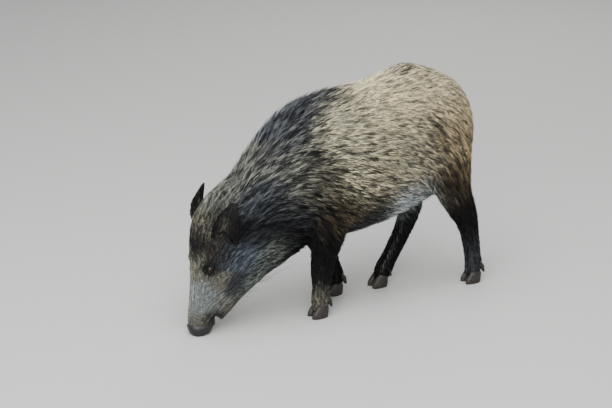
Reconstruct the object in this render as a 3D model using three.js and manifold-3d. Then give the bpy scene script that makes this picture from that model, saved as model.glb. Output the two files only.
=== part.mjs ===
// A young wild boar, life size, rooting: it walks with its snout lowered to the ground.
//
// Millimetres, +Z up, the floor at z = 0. The head points towards -X and the animal's own
// left side is -Y. The origin is on the floor, below the middle of the body.
// The flesh is one solid, lofted and joined, and then parted by thin cuts where a person
// would name its parts. Its surface is that of the coat, out to the tips of the hair.
import * as THREE from 'three';
import { LoftGeometry } from 'three/addons/geometries/LoftGeometry.js';
import { mergeVertices } from 'three/addons/utils/BufferGeometryUtils.js';
import Module from 'manifold-3d';

const wasm = await Module();
wasm.setup();

// ---------------------------------------------------------------- driving dimensions
const WITHERS = 575; // height of the back over the shoulder, to the tips of the mane
const CROUP = 614; // height of the highest point, over the hips
const BRISKET = 190; // height of the chest's underside
const CHEST_HALF_WIDTH = 121;
const NOSE_X = -416; // where the upper rim of the snout disc meets the floor
const SNOUT_HALF_WIDTH = 25;
const SEAM = 0.4; // width of the thin cuts between neighbouring parts
const FACET_TOLERANCE = 0.15; // facets flatter than this are merged

const BODY_RING_POINTS = 24;
const BODY_RINGS_PER_STEP = 2;
const LIMB_RING_POINTS = 16;
const LIMB_RINGS_PER_STEP = 2;

// ---------------------------------------------------------------- materials
const bristle = (color) => new THREE.MeshStandardMaterial({ color, roughness: 0.9, metalness: 0 });
const paleCoat = bristle(0x857a5e); // tan-grey back and rump
const darkCoat = bristle(0x4b473d); // neck, shoulders and thighs
const blackCoat = bristle(0x25211f); // legs and ears
const faceCoat = bristle(0x5f6058); // grey face
const noseSkin = new THREE.MeshStandardMaterial({ color: 0x55504e, roughness: 0.55, metalness: 0 });
const horn = new THREE.MeshStandardMaterial({ color: 0x1f1b19, roughness: 0.6, metalness: 0 });
const eyeGloss = new THREE.MeshStandardMaterial({ color: 0x140d09, roughness: 0.08, metalness: 0 });

// ---------------------------------------------------------------- solids and cuts
function solidFrom(geometry) {
  const bare = new THREE.BufferGeometry().copy(geometry);
  bare.deleteAttribute('normal');
  bare.deleteAttribute('uv');
  const merged = mergeVertices(bare, 1e-3);
  return new wasm.Manifold(new wasm.Mesh({
    numProp: 3,
    vertProperties: merged.getAttribute('position').array,
    triVerts: new Uint32Array(merged.index.array),
  }));
}

function meshFrom(name, solid, material) {
  const { numProp, vertProperties, triVerts } = solid.asOriginal().simplify(FACET_TOLERANCE).getMesh();
  const geometry = new THREE.BufferGeometry();
  const position = new THREE.InterleavedBufferAttribute(
    new THREE.InterleavedBuffer(vertProperties, numProp), 3, 0);
  geometry.setAttribute('position', position);
  geometry.setIndex(new THREE.BufferAttribute(triVerts, 1));
  geometry.computeVertexNormals();
  const mesh = new THREE.Mesh(geometry, material);
  mesh.name = name;
  return mesh;
}

// The part of a solid on each side of a plane seen edge-on in the side view, from one
// point [x, z] to another, with the seam left open: [left of the line, right of it].
function partAlong(solid, [x1, z1], [x2, z2]) {
  const normal = new THREE.Vector3(-(z2 - z1), 0, x2 - x1).normalize();
  const distance = normal.x * x1 + normal.z * z1;
  return [
    solid.trimByPlane(normal.toArray(), distance + SEAM / 2),
    solid.trimByPlane(normal.clone().negate().toArray(), -distance + SEAM / 2),
  ];
}

// A block with the outline given in the side view, from y1 to y2.
function prism(outline, y1, y2, grow = 0) {
  const middle = outline.reduce((sum, [x, z]) => sum.add(new THREE.Vector2(x, z)), new THREE.Vector2())
    .divideScalar(outline.length);
  const corners = outline.map(([x, z]) => {
    const corner = new THREE.Vector2(x, z);
    return corner.clone().add(corner.clone().sub(middle).setLength(grow));
  });
  const geometry = new THREE.ExtrudeGeometry(new THREE.Shape(corners), {
    depth: y2 - y1 + 2 * grow, bevelEnabled: false,
  });
  geometry.rotateX(Math.PI / 2); // the outline's second axis becomes z
  geometry.translate(0, y2 + grow, 0);
  return solidFrom(geometry);
}

// ---------------------------------------------------------------- lofts
// A smooth line through one value, or up to three, of each row of a table.
const through = (rows, pick) => new THREE.CatmullRomCurve3(
  rows.map((row) => new THREE.Vector3(...pick(row))), false, 'catmullrom', 0.5);

// A loft through upright sections of the body. Each row gives the section's highest and
// lowest point in the side view, its half width, how far up it is widest, and how much
// its upper and lower half narrow: 1 is round, below 1 is boxy, above 1 is ridged.
function bodyLoft(rows) {
  const topLine = through(rows, ({ top: [x, z] }) => [x, 0, z]);
  const lowLine = through(rows, ({ low: [x, z] }) => [x, 0, z]);
  const breadth = through(rows, ({ halfWidth, widest = 0.5 }) => [halfWidth, widest, 0]);
  const power = through(rows, ({ upper = 1, lower = 1 }) => [upper, lower, 0]);
  const sections = [];
  const steps = (rows.length - 1) * BODY_RINGS_PER_STEP;
  for (let i = 0; i <= steps; i++) {
    const t = i / steps;
    const [top, low] = [topLine.getPoint(t), lowLine.getPoint(t)];
    const { x: halfWidth, y: widest } = breadth.getPoint(t);
    const { x: upper, y: lower } = power.getPoint(t);
    const middle = low.clone().lerp(top, widest);
    sections.push(Array.from({ length: BODY_RING_POINTS }, (_, k) => {
      const angle = (k / BODY_RING_POINTS) * 2 * Math.PI;
      const [rise, reach] = [Math.sin(angle), Math.cos(angle)];
      const point = middle.clone().lerp(rise > 0 ? top : low, Math.abs(rise));
      point.y = -Math.sign(reach) * halfWidth * Math.abs(reach) ** (rise > 0 ? upper : lower);
      return point;
    }));
  }
  return solidFrom(new LoftGeometry(sections, { capStart: true, capEnd: true }));
}

// A loft along a limb, tail or claw. Each row gives the centre of a section, its depth
// in the side view and its width across; the sections stand square to the line.
function limbLoft(rows, { grow = 0, perStep = LIMB_RINGS_PER_STEP, ringPoints = LIMB_RING_POINTS } = {}) {
  const line = through(rows, ({ at }) => at);
  const size = through(rows, ({ depth, width }) => [depth, width, 0]);
  const sections = [];
  const steps = (rows.length - 1) * perStep;
  const across = new THREE.Vector3(0, 1, 0);
  for (let i = 0; i <= steps; i++) {
    const t = i / steps;
    const centre = line.getPoint(t);
    const { x: depth, y: width } = size.getPoint(t);
    const fore = new THREE.Vector3().crossVectors(across, line.getTangent(t)).normalize();
    sections.push(Array.from({ length: ringPoints }, (_, k) => {
      const angle = (k / ringPoints) * 2 * Math.PI;
      return centre.clone()
        .addScaledVector(fore, Math.cos(angle) * (depth / 2 + grow))
        .addScaledVector(across, Math.sin(angle) * (width / 2 + grow));
    }));
  }
  return solidFrom(new LoftGeometry(sections, { capStart: true, capEnd: true }));
}

// ---------------------------------------------------------------- trunk, neck and head
// From the rump to the snout disc. The sections fan out round the throat, because the
// neck and the head hang down.
const bodySections = [
  { name: 'rump end', top: [374, 462], low: [368, 388], halfWidth: 30 },
  { name: 'buttocks', top: [366, 508], low: [360, 334], halfWidth: 66 },
  { name: 'pin bones', top: [343, 547], low: [341, 297], halfWidth: 88 },
  { name: 'croup', top: [299, 576], low: [306, 268], halfWidth: 100, widest: 0.55 },
  { name: 'hips', top: [247, 599], low: [258, 244], halfWidth: 106, widest: 0.55 },
  { name: 'loin', top: [190, CROUP], low: [200, 224], halfWidth: 108 },
  { name: 'flank', top: [128, 599], low: [135, 208], halfWidth: 114, widest: 0.48 },
  { name: 'belly', top: [50, 580], low: [50, 196], halfWidth: 122, widest: 0.46 },
  {
    name: 'ribs', top: [-35, WITHERS], low: [-30, BRISKET], halfWidth: CHEST_HALF_WIDTH,
    widest: 0.47, upper: 1.1,
  },
  { name: 'withers', top: [-106, 565], low: [-82, 186], halfWidth: 114, widest: 0.48, upper: 1.25 },
  { name: 'breast', top: [-174, 534], low: [-112, 178], halfWidth: 103, widest: 0.48, upper: 1.3 },
  { name: 'neck', top: [-238, 473], low: [-137, 164], halfWidth: 95, widest: 0.48, upper: 1.3 },
  { name: 'nape', top: [-298, 402], low: [-160, 149], halfWidth: 88, widest: 0.5, upper: 1.15 },
  { name: 'poll', top: [-360, 354], low: [-184, 135], halfWidth: 82, widest: 0.55 },
  { name: 'crown', top: [-396, 303], low: [-207, 122], halfWidth: 76, widest: 0.6, upper: 0.85 },
  { name: 'brow', top: [-405, 248], low: [-232, 108], halfWidth: 72, widest: 0.62, upper: 0.7 },
  { name: 'eyes', top: [-406, 197], low: [-259, 90], halfWidth: 64, widest: 0.62, upper: 0.65 },
  { name: 'cheeks', top: [-408, 153], low: [-286, 68], halfWidth: 51, widest: 0.6, upper: 0.7 },
  { name: 'mouth corner', top: [-413, 110], low: [-310, 46], halfWidth: 40, widest: 0.55, upper: 0.75 },
  { name: 'lips', top: [-419, 70], low: [-331, 28], halfWidth: 31, widest: 0.55, upper: 0.8 },
  {
    name: 'snout', top: [-423, 36], low: [-352, 20], halfWidth: SNOUT_HALF_WIDTH,
    widest: 0.55, upper: 0.8,
  },
  { name: 'snout disc', top: [-424, 15], low: [-360, 17], halfWidth: 29, upper: 0.8, lower: 0.8 },
  { name: 'disc face', top: [NOSE_X, -1.5], low: [-366, 7], halfWidth: 26, upper: 0.8, lower: 0.8 },
];

// ---------------------------------------------------------------- legs
// Each leg's line runs from inside the body to the pastern; `toe` is the middle of the
// foot on the floor. In the side view, `outline` goes round everything that belongs to
// the leg on its side of the body, and `joint` is the line across the wrist or the hock.
const legs = {
  fore_left: {
    line: [
      { at: [-66, -66, 345], depth: 150, width: 78 },
      { at: [-62, -66, 262], depth: 122, width: 84 },
      { at: [-66, -62, 205], depth: 92, width: 72 },
      { at: [-74, -58, 160], depth: 72, width: 58 },
      { at: [-78, -56, 115], depth: 60, width: 52 },
      { at: [-79, -55, 80], depth: 49, width: 44 },
      { at: [-79, -54, 52], depth: 52, width: 48 },
      { at: [-83, -54, 32], depth: 44, width: 46 },
      { at: [-87, -54, 16], depth: 32, width: 36 },
    ],
    toe: [-86, -54],
    outline: [[-122, 170], [20, 186], [20, -20], [-160, -20], [-135, 100]],
    joint: [[-140, 106], [-20, 102]],
  },
  fore_right: {
    line: [
      { at: [-66, 66, 345], depth: 150, width: 78 },
      { at: [-56, 66, 262], depth: 116, width: 84 },
      { at: [-46, 62, 205], depth: 88, width: 70 },
      { at: [-26, 59, 160], depth: 68, width: 56 },
      { at: [0, 57, 115], depth: 58, width: 51 },
      { at: [14, 56, 80], depth: 48, width: 43 },
      { at: [24, 56, 52], depth: 50, width: 48 },
      { at: [23, 56, 32], depth: 43, width: 46 },
      { at: [19, 56, 16], depth: 32, width: 36 },
    ],
    toe: [20, 56],
    outline: [[-122, 170], [70, 190], [70, -20], [-120, -20]],
    joint: [[-40, 84], [50, 120]],
  },
  hind_left: {
    line: [
      { at: [262, -60, 452], depth: 150, width: 66 },
      { at: [270, -70, 392], depth: 168, width: 76 },
      { at: [292, -68, 318], depth: 132, width: 74 },
      { at: [317, -62, 258], depth: 98, width: 62 },
      { at: [343, -58, 212], depth: 80, width: 52 },
      { at: [361, -55, 170], depth: 61, width: 46 },
      { at: [374, -53, 118], depth: 50, width: 42 },
      { at: [383, -51, 72], depth: 47, width: 42 },
      { at: [387, -50, 50], depth: 50, width: 46 },
      { at: [384, -50, 31], depth: 43, width: 44 },
      { at: [380, -50, 16], depth: 32, width: 36 },
    ],
    toe: [382, -50],
    outline: [[222, 290], [385, 330], [460, 150], [460, -20], [340, -20], [222, 228]],
    joint: [[300, 165], [420, 215]],
  },
  hind_right: {
    line: [
      { at: [262, 60, 452], depth: 150, width: 66 },
      { at: [250, 70, 385], depth: 176, width: 76 },
      { at: [240, 68, 312], depth: 140, width: 74 },
      { at: [248, 62, 250], depth: 100, width: 62 },
      { at: [250, 56, 200], depth: 74, width: 52 },
      { at: [232, 50, 155], depth: 57, width: 45 },
      { at: [206, 47, 110], depth: 48, width: 42 },
      { at: [181, 45, 70], depth: 46, width: 42 },
      { at: [167, 44, 48], depth: 50, width: 46 },
      { at: [158, 44, 31], depth: 43, width: 44 },
      { at: [151, 44, 16], depth: 32, width: 36 },
    ],
    toe: [150, 44],
    outline: [[212, 290], [385, 330], [330, 150], [230, -20], [80, -20], [80, 100], [205, 228]],
    joint: [[190, 202], [300, 158]],
  },
};

// ---------------------------------------------------------------- ears
// A cupped leaf. Each row gives the middle of the ear's back, how wide the leaf is, how
// deep it is cupped and how thick it is with its hair.
const earSections = [
  { at: [-344, 50, 252], width: 46, cup: 12, thick: 16 },
  { at: [-347, 59, 266], width: 64, cup: 19, thick: 13 },
  { at: [-348, 69, 288], width: 73, cup: 22, thick: 9 },
  { at: [-346, 76, 312], width: 64, cup: 17, thick: 8 },
  { at: [-340, 80, 337], width: 40, cup: 8, thick: 7 },
  { at: [-334, 82, 359], width: 9, cup: 2, thick: 4 },
];
// The way each ear's hollow faces, given for the right side of the head. The right ear
// is turned further forward.
const earOpenings = { left: [-0.55, 0.83, -0.05], right: [-0.72, 0.69, -0.05] };
const EAR_RING_POINTS = 14;

function earLoft(facing) {
  const line = through(earSections, ({ at }) => at);
  const leaf = through(earSections, ({ width, cup, thick }) => [width, cup, thick]);
  const steps = (earSections.length - 1) * 2;
  const sections = [];
  for (let i = 0; i <= steps; i++) {
    const centre = line.getPoint(i / steps);
    const along = line.getTangent(i / steps);
    const { x: width, y: cup, z: thick } = leaf.getPoint(i / steps);
    const breadth = new THREE.Vector3(...facing).cross(along).normalize();
    const opening = along.clone().cross(breadth).normalize();
    sections.push(Array.from({ length: EAR_RING_POINTS }, (_, k) => {
      const angle = (k / EAR_RING_POINTS) * 2 * Math.PI;
      const across = Math.cos(angle);
      return centre.clone()
        .addScaledVector(breadth, across * (width / 2))
        .addScaledVector(opening, cup * across ** 2 + Math.sin(angle) * (thick / 2));
    }));
  }
  return solidFrom(new LoftGeometry(sections, { capStart: true, capEnd: true }));
}

// ---------------------------------------------------------------- eyes, mouth and snout
const EYE_RADIUS = 11;
const EYE = [-384, 45.5, 184]; // the right eye's middle
const LID = { radii: [14, 8, 12], at: [-381, 47, 184] }; // the swelling of its lids

const JAW_OUTLINE = [
  [-328, 0], [-362, 51], [-350, 82], [-318, 124], [-272, 158], [-214, 176], [-150, 60], [-300, -30],
];
const MOUTH_GAP = [[-350, 8], [-358, 28], [-370, 56], [-361, 51], [-335, 24], [-330, 8]];
const DISC_LINE = [[-440, 25], [-340, 25]]; // the rear rim of the snout disc
const NOSTRIL = { radii: [7, 5.5, 8], at: [-396, 12, 4] };

function ellipsoid({ radii, at, facets = 12 }, side, grow = 0) {
  const ball = new THREE.SphereGeometry(1, facets, facets / 2);
  ball.scale(...radii.map((radius) => radius + grow));
  ball.translate(at[0], side * at[1], at[2]);
  return solidFrom(ball);
}

// ---------------------------------------------------------------- tail
const tailSections = [
  { at: [345, 0, 488], depth: 26, width: 28 },
  { at: [366, 1, 478], depth: 25, width: 26 },
  { at: [381, 4, 450], depth: 21, width: 21 },
  { at: [386, 8, 410], depth: 17, width: 17 },
  { at: [388, 12, 365], depth: 16, width: 15 },
  { at: [390, 15, 325], depth: 22, width: 20 },
  { at: [391, 17, 288], depth: 22, width: 19 },
  { at: [390, 19, 252], depth: 7, width: 6 },
];

// ---------------------------------------------------------------- hooves and dewclaws
// Each claw is given from its upper rim to below the floor, where it is cut off flat.
const TOE_SPREAD = 12.5; // from the middle of the foot to the middle of a hoof
const hoofSections = [
  { at: [9, 0, 33], depth: 28, width: 17 },
  { at: [4, 0, 20], depth: 38, width: 20.5 },
  { at: [-2, 0, 6], depth: 46, width: 22 },
  { at: [-4, 0, -6], depth: 48, width: 21 },
];
const DEWCLAW_SPREAD = 14;
const dewclawSections = [
  { at: [12, 0, 56], depth: 15, width: 12 },
  { at: [24, 0, 43], depth: 14, width: 12 },
  { at: [30, 0, 26], depth: 7, width: 6 },
];

function claw(sections, [x, y], ringPoints, grow = 0) {
  const rows = sections.map(({ at, depth, width }) => ({
    at: [at[0] + x, at[1] + y, at[2]], depth, width,
  }));
  return limbLoft(rows, { grow, perStep: 1, ringPoints });
}

// ---------------------------------------------------------------- build
const boar = new THREE.Group();
boar.name = 'wild_boar';

const torso = bodyLoft(bodySections);
let flesh = torso;
for (const { line } of Object.values(legs)) flesh = flesh.add(limbLoft(line));

const sides = { left: -1, right: 1 };
for (const [side, sign] of Object.entries(sides)) {
  flesh = flesh.add(ellipsoid(LID, sign));
  const eyeball = { radii: [EYE_RADIUS, EYE_RADIUS, EYE_RADIUS], at: EYE, facets: 16 };
  boar.add(meshFrom(`eye_${side}`, ellipsoid(eyeball, sign), eyeGloss));
  flesh = flesh.subtract(ellipsoid(eyeball, sign, 2 * SEAM));
  const ear = sign > 0 ? earLoft(earOpenings.right) : earLoft(earOpenings.left).mirror([0, 1, 0]);
  boar.add(meshFrom(`ear_${side}`, ear.subtract(flesh.translate([-0.1, sign * 0.4, 0.2])), blackCoat));
}

for (const [name, { toe }] of Object.entries(legs)) {
  const outside = name.endsWith('left') ? -1 : 1;
  for (const [part, direction] of [['outer', outside], ['inner', -outside]]) {
    const hoofAt = [toe[0], toe[1] + direction * TOE_SPREAD];
    const dewclawAt = [toe[0], toe[1] + direction * DEWCLAW_SPREAD];
    const hoof = claw(hoofSections, hoofAt, 10).trimByPlane([0, 0, 1], 0);
    boar.add(meshFrom(`${name}_hoof_${part}`, hoof, horn));
    boar.add(meshFrom(`${name}_dewclaw_${part}`, claw(dewclawSections, dewclawAt, 8), horn));
    flesh = flesh.subtract(claw(hoofSections, hoofAt, 10, SEAM));
    flesh = flesh.subtract(claw(dewclawSections, dewclawAt, 8, SEAM));
  }
}

for (const [name, { outline, joint }] of Object.entries(legs)) {
  const [near, far] = name.endsWith('left') ? [-160, -19] : [19, 160];
  const leg = flesh.intersect(prism(outline, near, far));
  const [upper, lower] = partAlong(leg, ...joint);
  boar.add(meshFrom(`${name}_upper_leg`, upper, darkCoat));
  boar.add(meshFrom(`${name}_lower_leg`, lower, blackCoat));
  flesh = flesh.subtract(prism(outline, near, far, SEAM));
}

const tail = limbLoft(tailSections, { ringPoints: 12 }).subtract(torso.translate([0.4, 0, 0]));
boar.add(meshFrom('tail', tail, darkCoat));

const [front, trunk] = partAlong(flesh, [-100, 60], [-152, 640]);
boar.add(meshFrom('trunk', trunk, paleCoat));
const [face, neck] = partAlong(front, [-186, 60], [-316, 440]);
boar.add(meshFrom('neck', neck, darkCoat));

const [skull, disc] = partAlong(face.subtract(prism(MOUTH_GAP, -160, 160)), ...DISC_LINE);
boar.add(meshFrom('lower_jaw', skull.intersect(prism(JAW_OUTLINE, -160, 160)), faceCoat));
boar.add(meshFrom('head', skull.subtract(prism(JAW_OUTLINE, -160, 160, SEAM)), faceCoat));
const nostrils = ellipsoid(NOSTRIL, 1).add(ellipsoid(NOSTRIL, -1));
boar.add(meshFrom('snout_disc', disc.subtract(nostrils).trimByPlane([0, 0, 1], 0), noseSkin));

export default boar;
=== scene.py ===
# A young wild boar with its nose to the ground: skin, coat, eyes and hooves.
# In metres: the head points towards -X, the animal's left side towards -Y, and the floor is z = 0.
import math

import bmesh
import bpy
import numpy as np
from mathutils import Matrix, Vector
from mathutils.bvhtree import BVHTree
from mathutils.kdtree import KDTree


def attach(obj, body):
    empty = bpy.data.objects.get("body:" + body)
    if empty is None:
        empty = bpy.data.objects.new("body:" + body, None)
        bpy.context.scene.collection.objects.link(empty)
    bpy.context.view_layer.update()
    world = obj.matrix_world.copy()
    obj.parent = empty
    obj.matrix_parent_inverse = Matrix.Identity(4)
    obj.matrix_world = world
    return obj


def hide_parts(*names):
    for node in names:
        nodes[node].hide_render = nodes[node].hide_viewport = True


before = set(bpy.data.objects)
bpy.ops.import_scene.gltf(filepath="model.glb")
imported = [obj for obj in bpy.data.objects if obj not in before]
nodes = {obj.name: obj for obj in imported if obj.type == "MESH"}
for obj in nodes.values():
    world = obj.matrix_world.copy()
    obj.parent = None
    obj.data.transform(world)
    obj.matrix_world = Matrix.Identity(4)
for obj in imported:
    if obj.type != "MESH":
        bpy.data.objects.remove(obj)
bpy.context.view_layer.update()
rng = np.random.default_rng(7)


# small helpers

def unit(v):
    return v / np.maximum(np.linalg.norm(v, axis=-1, keepdims=True), 1e-12)


def smoothStep(x, low, high):
    t = np.clip((x - low) / (high - low), 0.0, 1.0)
    return t * t * (3 - 2 * t)


def bump(x, middle, width):
    return np.exp(-((x - middle) / width) ** 2)


def linearTint(hexCode):
    # a screen colour as linear light, by the sRGB curve
    srgb = np.array([int(hexCode[i:i + 2], 16) for i in (0, 2, 4)]) / 255
    return np.where(srgb <= 0.04045, srgb / 12.92, ((srgb + 0.055) / 1.055) ** 2.4)


def toward(tint, goal, share):
    return tint + (goal - tint) * share[:, None]


def addObject(name, data):
    obj = bpy.data.objects.new(name, data)
    bpy.context.collection.objects.link(obj)
    return obj


def smoothShading(obj):
    obj.data.polygons.foreach_set("use_smooth", [True] * len(obj.data.polygons))
    obj.data.update()


def readRows(items, field, width, kind=np.float32):
    # one field of a mesh's items, a row for each
    values = np.empty(len(items) * width, dtype=kind)
    items.foreach_get(field, values)
    return values.reshape(-1, width)


def readPlaces(obj):
    return readRows(obj.data.vertices, "co", 3).astype(float)


def writePlaces(obj, verts):
    obj.data.vertices.foreach_set("co", verts.astype(np.float32).ravel())
    obj.data.update()


def readNormals(obj):
    return unit(readRows(obj.data.vertices, "normal", 3).astype(float))


def readTriangles(obj, field="vertices"):
    obj.data.calc_loop_triangles()
    return readRows(obj.data.loop_triangles, field, 3, np.int32)


def surfaceTree(verts, tris):
    return BVHTree.FromPolygons(verts.tolist(), tris.tolist())


def placeTree(places):
    tree = KDTree(len(places))
    for i, place in enumerate(places):
        tree.insert(Vector(place), i)
    tree.balance()
    return tree


def paint(obj, tints):
    layer = obj.data.color_attributes.new("tint", "FLOAT_COLOR", "POINT")
    rgba = np.concatenate([tints, np.ones((len(tints), 1))], axis=1)
    layer.data.foreach_set("color", rgba.astype(np.float32).ravel())


def applyModifiers(obj):
    graph = bpy.context.evaluated_depsgraph_get()
    done = bpy.data.meshes.new_from_object(obj.evaluated_get(graph))
    obj.modifiers.clear()
    obj.data = done


def relax(obj, weight, rounds):
    # in and out by turns, so the form softens but doesn't shrink
    inward, outward = 0.5, -0.53
    verts = readPlaces(obj)
    a, b = readRows(obj.data.edges, "vertices", 2, np.int32).T
    count = np.bincount(a, minlength=len(verts)) + np.bincount(b, minlength=len(verts))
    for turn in range(rounds * 2):
        mean = np.zeros_like(verts)
        for axis in range(3):
            mean[:, axis] = np.bincount(a, verts[b, axis], len(verts))
            mean[:, axis] += np.bincount(b, verts[a, axis], len(verts))
        step = inward if turn % 2 == 0 else outward
        verts += (mean / count[:, None] - verts) * (step * weight)[:, None]
    writePlaces(obj, verts)


def joinedCopy(name, parts, swell=0.0):
    # one mesh from copies of several solids, each a little swollen so that the cuts close
    bm = bmesh.new()
    for part in parts:
        first = len(bm.verts)
        bm.from_mesh(nodes[part].data)
        bm.verts.ensure_lookup_table()
        bm.normal_update()
        for vert in bm.verts[first:]:
            vert.co += vert.normal * swell
    mesh = bpy.data.meshes.new(name)
    bm.to_mesh(mesh)
    bm.free()
    return addObject(name, mesh)


def voxelise(obj, size):
    remesh = obj.modifiers.new("remesh", "REMESH")
    remesh.mode = "VOXEL"
    remesh.voxel_size = size
    applyModifiers(obj)


def refine(obj, chosen):
    # halve the mesh wherever both ends of an edge are chosen
    bm = bmesh.new()
    bm.from_mesh(obj.data)
    keep = chosen(readPlaces(obj))
    near = [edge for edge in bm.edges if keep[edge.verts[0].index] and keep[edge.verts[1].index]]
    bmesh.ops.subdivide_edges(bm, edges=near, cuts=1, use_grid_fill=True)
    bmesh.ops.triangulate(bm, faces=[face for face in bm.faces if len(face.verts) > 4])
    bm.to_mesh(obj.data)
    bm.free()


# where things are on the animal

legs = ["fore_left", "fore_right", "hind_left", "hind_right"]
fleshNodes = ["trunk", "neck", "head", "lower_jaw", "snout_disc", "tail", "ear_left", "ear_right"]
fleshNodes += [leg + "_upper_leg" for leg in legs] + [leg + "_lower_leg" for leg in legs]
eyeAt = np.array([-0.384, 0.0455, 0.184])
eyeRadius = 0.011
earLine = np.array([[-0.346, 0.055, 0.258], [-0.348, 0.069, 0.288], [-0.346, 0.076, 0.312],
                    [-0.334, 0.082, 0.359]])
mouthLine = np.array([[-0.366, 0.050], [-0.350, 0.082], [-0.334, 0.106], [-0.316, 0.122]])  # x, z
snoutEnd, pollTop = np.array([-0.405, 0.0, 0.005]), np.array([-0.345, 0.0, 0.345])
neckLine = {"at": (-0.186, 0.060), "way": (0.946, 0.324), "blend": (-0.045, 0.015)}  # x, z; nape to throat


def mirrored(p):
    # both sides folded onto the right one
    return np.stack([p[:, 0], np.abs(p[:, 1]), p[:, 2]], axis=1)


def gapToLine(p, line):
    best = np.full(len(p), np.inf)
    for a, b in zip(line[:-1], line[1:]):
        t = np.clip((p - a) @ (b - a) / ((b - a) @ (b - a)), 0, 1)
        best = np.minimum(best, np.linalg.norm(p - a - t[:, None] * (b - a), axis=1))
    return best


def gapToMouth(p):
    return gapToLine(p[:, [0, 2]], mouthLine)


def gapToEye(p):
    return np.linalg.norm(mirrored(p) - eyeAt, axis=1)


def upTheHead(p):
    # 0 at the snout's end, 1 at the poll
    axis = pollTop - snoutEnd
    return (p - snoutEnd) @ axis / (axis @ axis)


def headMask(p):
    (x, z), (wayX, wayZ) = neckLine["at"], neckLine["way"]
    past = (p[:, 0] - x) * wayX + (p[:, 2] - z) * wayZ
    return 1 - smoothStep(past, *neckLine["blend"])


def treeOf(parts):
    solid = joinedCopy("probe", parts)
    tree = surfaceTree(readPlaces(solid), readTriangles(solid))
    bpy.data.objects.remove(solid)
    return tree


earTree, headTree = treeOf(["ear_left", "ear_right"]), treeOf(["head", "neck"])
tailTree, rumpTree = treeOf(["tail"]), treeOf(["trunk", "hind_left_upper_leg", "hind_right_upper_leg"])


def nearerTo(p, near, own, rest):
    # 1 where, of the places near by, its own solid is nearer than the rest
    gain = [rest.find_nearest(spot)[3] - own.find_nearest(spot)[3] for spot in map(Vector, p[near])]
    mask = np.zeros(len(p))
    mask[near] = smoothStep(np.array(gain), -0.001, 0.006)
    return mask


def earMask(p):
    return nearerTo(p, gapToLine(mirrored(p), earLine) < 0.060, earTree, headTree)


def tailMask(p):
    x, y, z = p.T
    return nearerTo(p, (x > 0.34) & (np.abs(y) < 0.05) & (z > 0.22) & (z < 0.52), tailTree, rumpTree)


def legMask(p):
    return (1 - smoothStep(p[:, 2], 0.165, 0.235)) * smoothStep(p[:, 0], -0.150, -0.125)


def crestMask(p):
    # the mane, from the poll over the neck to behind the withers
    middle = np.exp(-(p[:, 1] / 0.040) ** 2)
    return middle * smoothStep(p[:, 2], 0.34, 0.42) * smoothStep(-p[:, 0], -0.03, 0.06)


# how far the hair stands off the skin; the mane adds to the body, the poll and nape to the muzzle,
# and the thigh to the foot
depths = {
    "body": 0.0090, "mane": 0.0060, "muzzle": 0.0012, "poll": 0.0050, "nape": 0.0040,
    "foot": 0.0030, "thigh": 0.0030, "ear": 0.0010, "tail": 0.0035, "at the floor": 0.15, "above it": 0.85,
}
lengths = {  # how long the bristles are, in the same way, with the cheek's as the least there
    "body": 0.031, "mane": 0.016, "muzzle": 0.0045, "brow": 0.0040, "poll": 0.012, "cheek": 0.021,
    "foot": 0.010, "thigh": 0.010, "ear": 0.011, "tail": 0.024,
}


def byRegion(p, body, low, face, ear, tail):
    # the body's value, changed for those of the legs, the head, the ears and the tail
    for value, mask in ((low, legMask(p)), (face, headMask(p)), (ear, earMask(p)), (tail, tailMask(p))):
        body = body + (value - body) * mask
    return body


def coatDepth(p):
    x, z, t = p[:, 0], p[:, 2], upTheHead(p)
    face = depths["muzzle"] + depths["poll"] * smoothStep(t, 0.35, 1.0)
    face = face + depths["nape"] * smoothStep(x, -0.36, -0.26)
    low = depths["foot"] + depths["thigh"] * smoothStep(z, 0.08, 0.20)
    body = depths["body"] + depths["mane"] * crestMask(p)
    depth = byRegion(p, body, low, face, depths["ear"], depths["tail"])
    return depth * (depths["at the floor"] + depths["above it"] * smoothStep(z, 0.004, 0.035))


def coatLength(p):
    x, z, t = p[:, 0], p[:, 2], upTheHead(p)
    face = lengths["muzzle"] + lengths["brow"] * smoothStep(t, 0.15, 0.55)
    face = face + lengths["poll"] * smoothStep(t, 0.75, 1.05)
    face = np.maximum(face, lengths["cheek"] * smoothStep(x + 0.3 * z, -0.30, -0.19))
    low = lengths["foot"] + lengths["thigh"] * smoothStep(z, 0.10, 0.22)
    body = lengths["body"] + lengths["mane"] * crestMask(p)
    return byRegion(p, body, low, face, lengths["ear"], lengths["tail"])


# skin: the solids of flesh made one, drawn in by the coat's depth, thinned out, and refined at the
# eyes and the muzzle; swollen balls fill the sockets

skinWork = {"voxel": 0.0034, "swell": 0.00035, "rounds": 8, "settle": 2, "tris": 120000, "coarse": 0.25,
            "ear hold": 0.80, "muzzle hold": 0.30, "fine weight": 0.8, "fine rounds": 3}
print("skin")
skin = joinedCopy("skin", fleshNodes + ["eye_left", "eye_right"], skinWork["swell"])
voxelise(skin, skinWork["voxel"])
verts = readPlaces(skin)
soft = 1 - skinWork["ear hold"] * earMask(verts)
soft = soft - skinWork["muzzle hold"] * headMask(verts) * (upTheHead(verts) < 0.15)
relax(skin, soft, skinWork["rounds"])
verts = readPlaces(skin)
writePlaces(skin, verts - readNormals(skin) * coatDepth(verts)[:, None])
relax(skin, soft, skinWork["settle"])

fine = skin.vertex_groups.new(name="fine")
verts = readPlaces(skin)
feet = legMask(verts) * (verts[:, 2] < 0.07)
onFine = np.maximum(headMask(verts), feet) >= 0.5
for chosen, level in ((~onFine, skinWork["coarse"]), (onFine, 1.0)):
    fine.add(np.flatnonzero(chosen).tolist(), level, "REPLACE")
thin = skin.modifiers.new("thin out", "DECIMATE")
thin.ratio = skinWork["tris"] / (len(skin.data.polygons) * 2)
thin.vertex_group = "fine"
thin.invert_vertex_group = True
applyModifiers(skin)


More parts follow.
